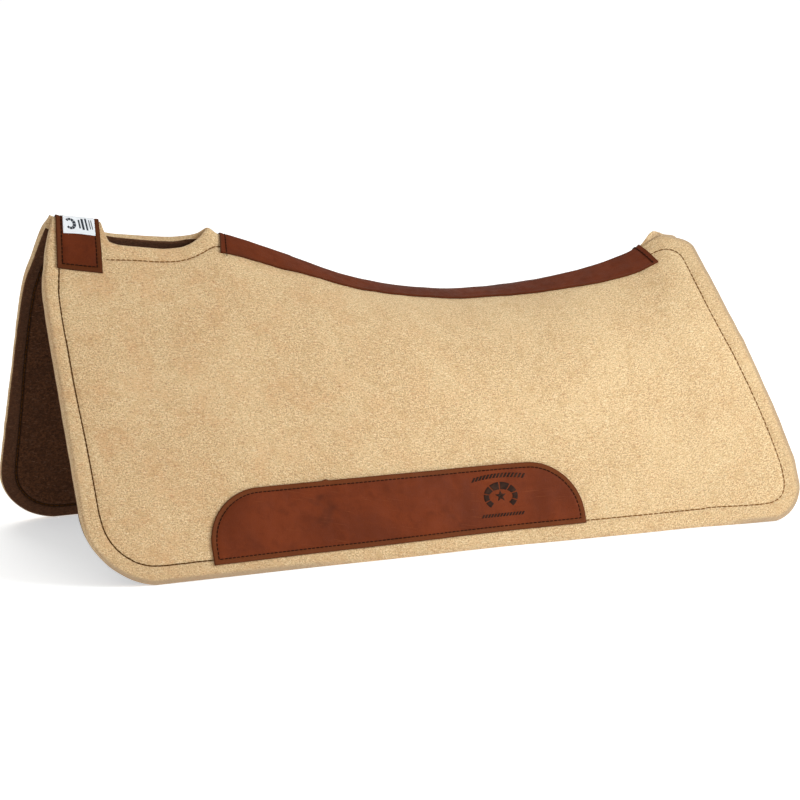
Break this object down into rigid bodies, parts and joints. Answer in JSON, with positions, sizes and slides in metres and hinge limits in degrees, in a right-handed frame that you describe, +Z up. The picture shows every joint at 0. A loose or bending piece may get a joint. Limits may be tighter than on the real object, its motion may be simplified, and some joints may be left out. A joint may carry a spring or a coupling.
{
  "type": "saddle pad",
  "caption": "Contoured western saddle pad of two-layer wool felt with a dipped leather-covered spine, a wither opening under a leather bridge strap, and leather wear patches.",
  "frame": {"origin": "middle of the pad's footprint, on the surface that its two lower edges stand on", "axes": "+X towards the horse's tail, +Y towards the right-hand half, +Z up; the halves mirror each other across Y = 0"},
  "size_m": [0.797, 0.405, 0.364],
  "materials": {
    "felt": "pressed tan wool felt with reddish and grey flecks",
    "liner": "dark brown needled wool felt",
    "leather": "oiled reddish-brown cowhide with darker mottling",
    "thread": "dark brown waxed thread",
    "label": "white woven ribbon"
  },
  "bodies": {
    "near_half": {"near_felt": "felt", "near_liner": "liner", "near_wear_leather": "leather", "near_front_rim_thread": "thread", "near_rear_rim_thread": "thread", "near_opening_thread": "thread", "near_liner_thread": "thread", "near_wear_thread": "thread", "spine_strip": "leather", "bridge_strap": "leather", "woven_label": "label", "bridge_strap_thread": "thread", "strip_front_thread": "thread", "strip_rear_thread": "thread", "spine_seam_thread": "thread", "spine_under_thread": "thread", "bridge_seam_thread": "thread", "bridge_under_thread": "thread"},
    "far_half": {"far_felt": "felt", "far_liner": "liner", "far_wear_leather": "leather", "far_front_rim_thread": "thread", "far_rear_rim_thread": "thread", "far_opening_thread": "thread", "far_liner_thread": "thread", "far_wear_thread": "thread"}
  },
  "joints": [
    {"name": "spine_fold", "type": "hinge", "parent": "near_half", "child": "far_half", "pos_m": [0, 0, 0.275], "axis": [0.9936, 0, -0.1128], "range_deg": [-10, 10], "stiffness_Nm_per_rad": 15, "deforming": ["spine_strip", "bridge_strap", "woven_label", "bridge_strap_thread", "strip_front_thread", "strip_rear_thread", "spine_seam_thread", "spine_under_thread", "bridge_seam_thread", "bridge_under_thread"]}
  ]
}
